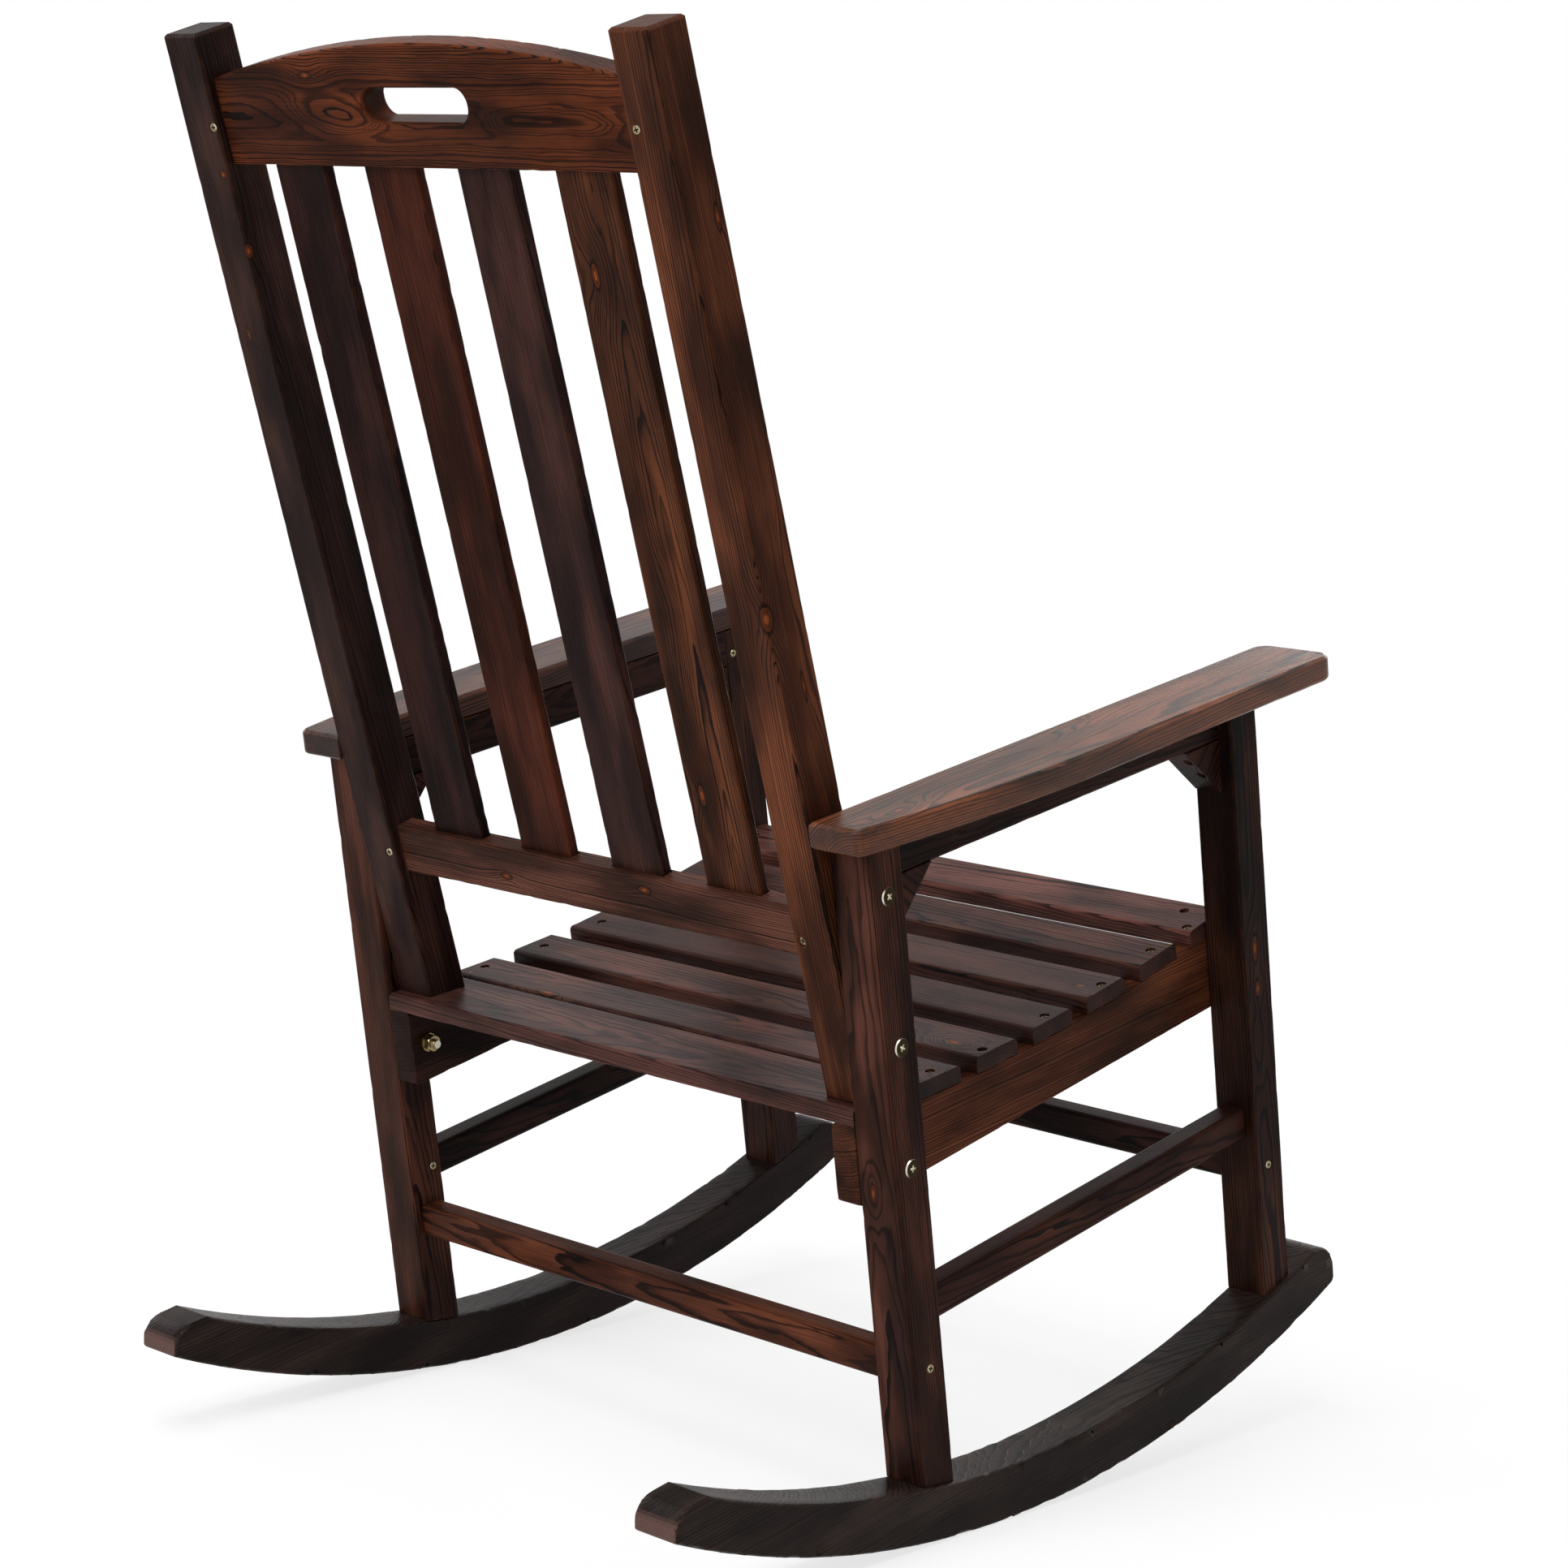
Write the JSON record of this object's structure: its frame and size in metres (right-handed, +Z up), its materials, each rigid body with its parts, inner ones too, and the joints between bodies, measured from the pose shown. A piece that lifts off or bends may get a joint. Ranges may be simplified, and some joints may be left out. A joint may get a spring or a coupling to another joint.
{
  "type": "slat-back porch rocking chair",
  "caption": "Wooden porch rocking chair with a leaning slatted back, an arched crest rail with a hand slot, flat arms, a dished slat seat and sawn arc rockers.",
  "frame": {"origin": "on the floor under the middle of the chair, in its rest position on the rockers", "axes": "+Z up, +X to the sitter's left, and the sitter faces -Y"},
  "size_m": [0.6924, 0.8527, 1.1542],
  "materials": {
    "arm_bracket_front_left": "dark stain under satin varnish",
    "arm_bracket_front_right": "dark stain under satin varnish",
    "arm_bracket_rear_left": "dark stain under satin varnish",
    "arm_bracket_rear_right": "dark stain under satin varnish",
    "arm_left": "dark stain under satin varnish",
    "arm_rail_left": "dark stain under satin varnish",
    "arm_rail_right": "dark stain under satin varnish",
    "arm_right": "dark stain under satin varnish",
    "back_post_left": "dark stain under satin varnish",
    "back_post_right": "dark stain under satin varnish",
    "back_slat_1": "dark stain under satin varnish",
    "back_slat_2": "dark stain under satin varnish",
    "back_slat_3": "dark stain under satin varnish",
    "back_slat_4": "dark stain under satin varnish",
    "crest_rail": "dark stain under satin varnish",
    "front_leg_left": "dark stain under satin varnish",
    "front_leg_right": "dark stain under satin varnish",
    "front_stretcher": "dark stain under satin varnish",
    "lower_back_rail": "dark stain under satin varnish",
    "rear_leg_left": "dark stain under satin varnish",
    "rear_leg_right": "dark stain under satin varnish",
    "rear_stretcher": "dark stain under satin varnish",
    "rocker_left": "dark stain under satin varnish",
    "rocker_right": "dark stain under satin varnish",
    "seat_rail_left": "dark stain under satin varnish",
    "seat_rail_right": "dark stain under satin varnish",
    "seat_slat_1": "dark stain under satin varnish",
    "seat_slat_2": "dark stain under satin varnish",
    "seat_slat_3": "dark stain under satin varnish",
    "seat_slat_4": "dark stain under satin varnish",
    "seat_slat_5": "dark stain under satin varnish",
    "seat_slat_6": "dark stain under satin varnish",
    "seat_slat_7": "dark stain under satin varnish",
    "side_stretcher_left": "dark stain under satin varnish",
    "side_stretcher_right": "dark stain under satin varnish",
    "zinc_hardware": "yellow zinc plated"
  },
  "bodies": {
    "root": {"arm_bracket_front_left": "arm_bracket_front_left", "arm_bracket_front_right": "arm_bracket_front_right", "arm_bracket_rear_left": "arm_bracket_rear_left", "arm_bracket_rear_right": "arm_bracket_rear_right", "arm_left": "arm_left", "arm_rail_left": "arm_rail_left", "arm_rail_right": "arm_rail_right", "arm_right": "arm_right", "back_post_left": "back_post_left", "back_post_right": "back_post_right", "back_slat_1": "back_slat_1", "back_slat_2": "back_slat_2", "back_slat_3": "back_slat_3", "back_slat_4": "back_slat_4", "crest_rail": "crest_rail", "front_leg_left": "front_leg_left", "front_leg_right": "front_leg_right", "front_stretcher": "front_stretcher", "lower_back_rail": "lower_back_rail", "post_bolts": "zinc_hardware", "rear_leg_left": "rear_leg_left", "rear_leg_right": "rear_leg_right", "rear_stretcher": "rear_stretcher", "rocker_left": "rocker_left", "rocker_right": "rocker_right", "seat_bolts": "zinc_hardware", "seat_nuts": "zinc_hardware", "seat_rail_left": "seat_rail_left", "seat_rail_right": "seat_rail_right", "seat_slat_1": "seat_slat_1", "seat_slat_2": "seat_slat_2", "seat_slat_3": "seat_slat_3", "seat_slat_4": "seat_slat_4", "seat_slat_5": "seat_slat_5", "seat_slat_6": "seat_slat_6", "seat_slat_7": "seat_slat_7", "seat_washers": "zinc_hardware", "side_stretcher_left": "side_stretcher_left", "side_stretcher_right": "side_stretcher_right"}
  },
  "joints": []
}
